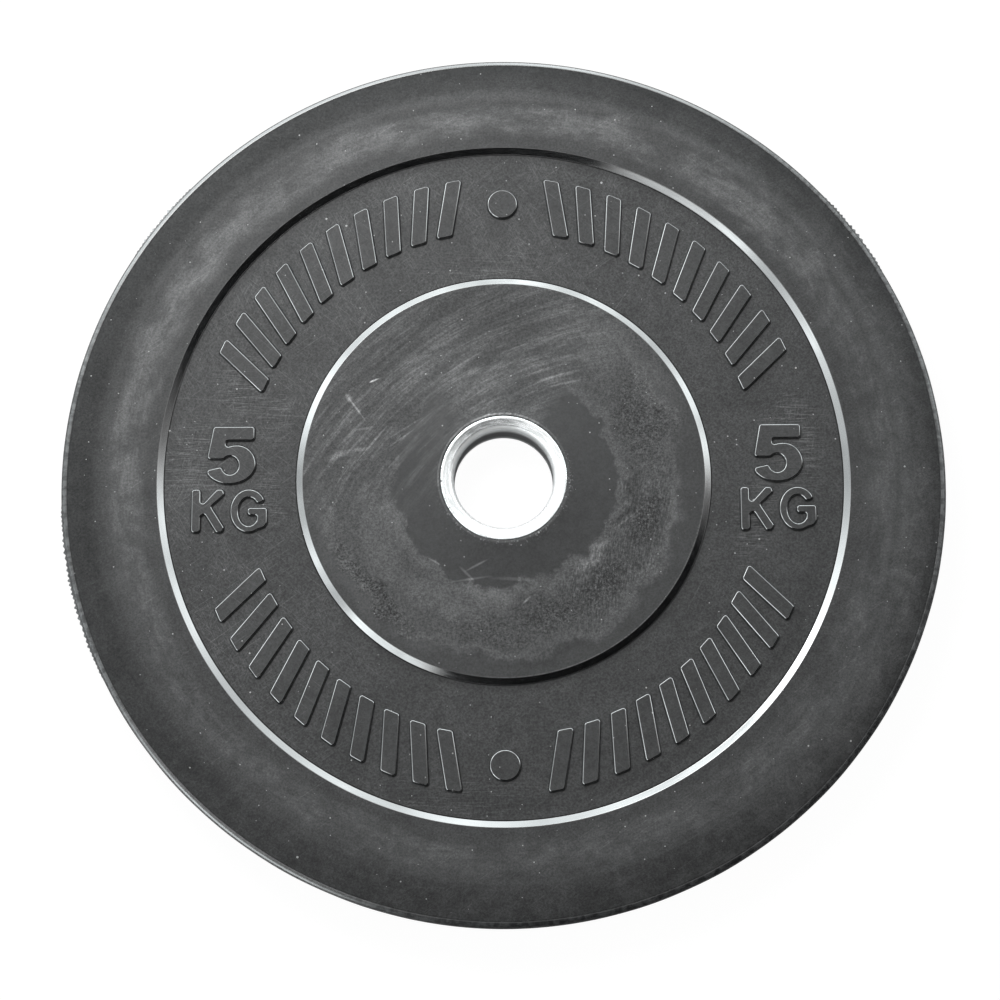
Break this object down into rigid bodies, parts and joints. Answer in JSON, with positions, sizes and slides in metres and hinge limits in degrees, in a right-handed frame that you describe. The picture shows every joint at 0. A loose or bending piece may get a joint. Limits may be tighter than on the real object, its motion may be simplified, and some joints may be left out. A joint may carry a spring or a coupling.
{
  "type": "bumper plate",
  "caption": "Thin round rubber weight plate with a recessed web, raised bars and weight marks, and a steel-lined centre bore that slides on a barbell sleeve.",
  "frame": {"origin": "on the bore's axis, at the plane of the bush's lower end, which the plate rests on when it lies flat", "axes": "+Z along the bore's axis and out of the front face, +Y towards the top of the weight marks on the front face, +X to their right"},
  "size_m": [0.45, 0.45, 0.026],
  "materials": {
    "rubber": "moulded black rubber with a grey bloom, satin where the mould was smooth",
    "bush_steel": "turned steel with bright zinc plating",
    "anchor_steel": "bare mild steel",
    "weld_metal": "bare weld metal"
  },
  "bodies": {
    "root": {"rubber_body": "rubber", "hub_sleeve": "bush_steel", "anchor_flange": "anchor_steel", "weld_bead_front": "weld_metal", "weld_bead_back": "weld_metal"}
  },
  "joints": []
}
